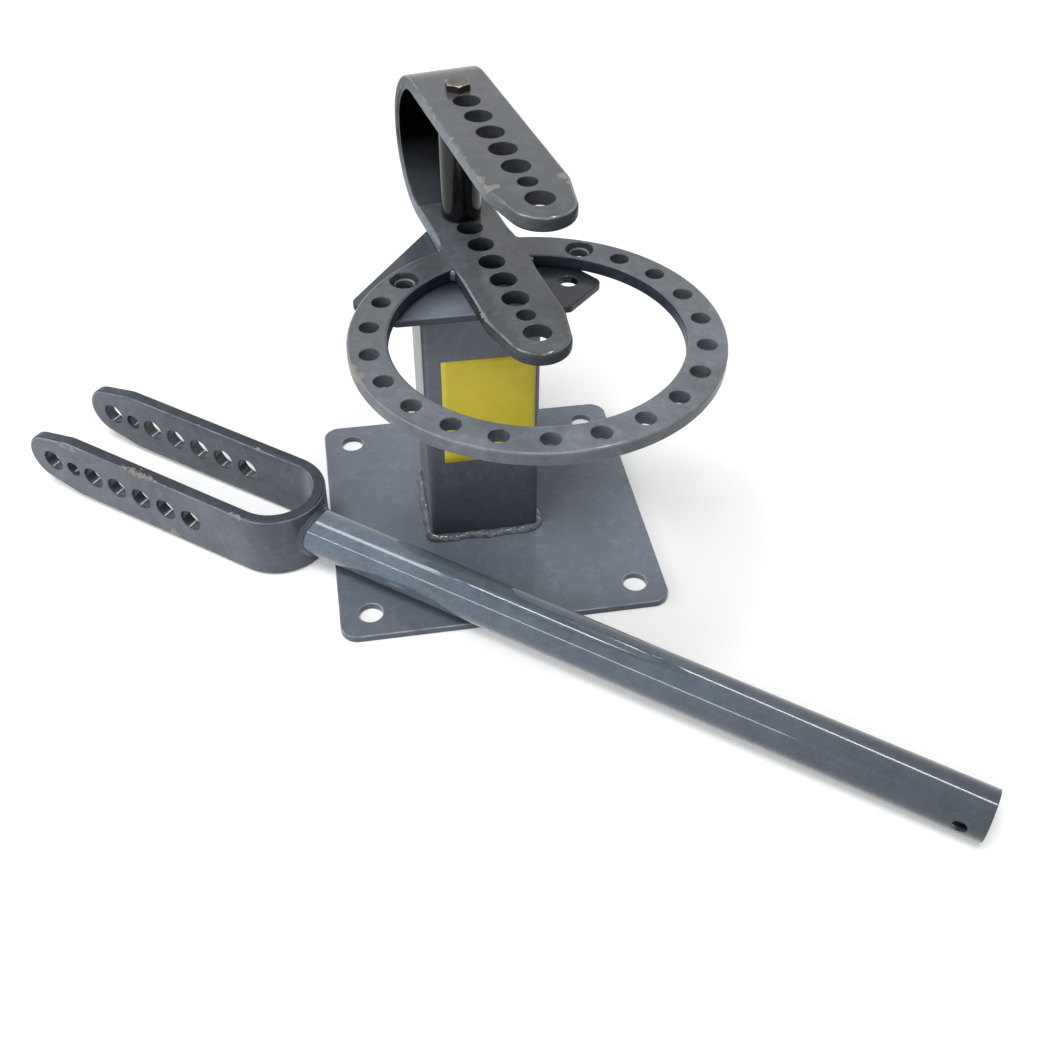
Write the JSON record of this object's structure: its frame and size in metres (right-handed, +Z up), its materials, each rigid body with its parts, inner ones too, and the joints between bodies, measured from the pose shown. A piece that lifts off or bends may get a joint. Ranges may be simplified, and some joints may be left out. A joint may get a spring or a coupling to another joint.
{
  "type": "compact bench bender",
  "caption": "Bench bender with a welded pedestal, a loose U-shaped frame on a stop ring, and a fork handle with a tube grip lying on the floor.",
  "frame": {"origin": "middle of the base plate's underside", "axes": "+Z up, +X to the right along the base plate's front edge, +Y away from the user"},
  "size_m": [0.5265, 0.4325, 0.2691],
  "materials": {
    "pedestal_paint": "gloss",
    "post_paint": "gloss",
    "frame_paint": "gloss",
    "sleeve_paint": "gloss",
    "handle_paint": "gloss",
    "weld_paint": "gloss",
    "bolt_steel": "satin"
  },
  "bodies": {
    "pedestal": {"base_plate": "pedestal_paint", "post_tube": "post_paint", "foot_weld": "weld_paint", "top_plate": "pedestal_paint", "head_welds": "weld_paint"},
    "frame": {"frame_bar": "frame_paint", "stop_ring": "frame_paint", "ring_welds": "weld_paint", "spreader_sleeve": "sleeve_paint", "spreader_bolt": "bolt_steel"},
    "handle": {"fork_bar": "handle_paint", "handle_tube": "handle_paint", "handle_weld": "weld_paint"}
  },
  "joints": [
    {"name": "frame_lift", "type": "slide", "parent": "pedestal", "child": "frame", "axis": [0, 0, 1], "range_m": [0, 0.15]},
    {"name": "handle_lift", "type": "slide", "parent": "pedestal", "child": "handle", "axis": [0, 0, 1], "range_m": [0, 0.12]}
  ]
}
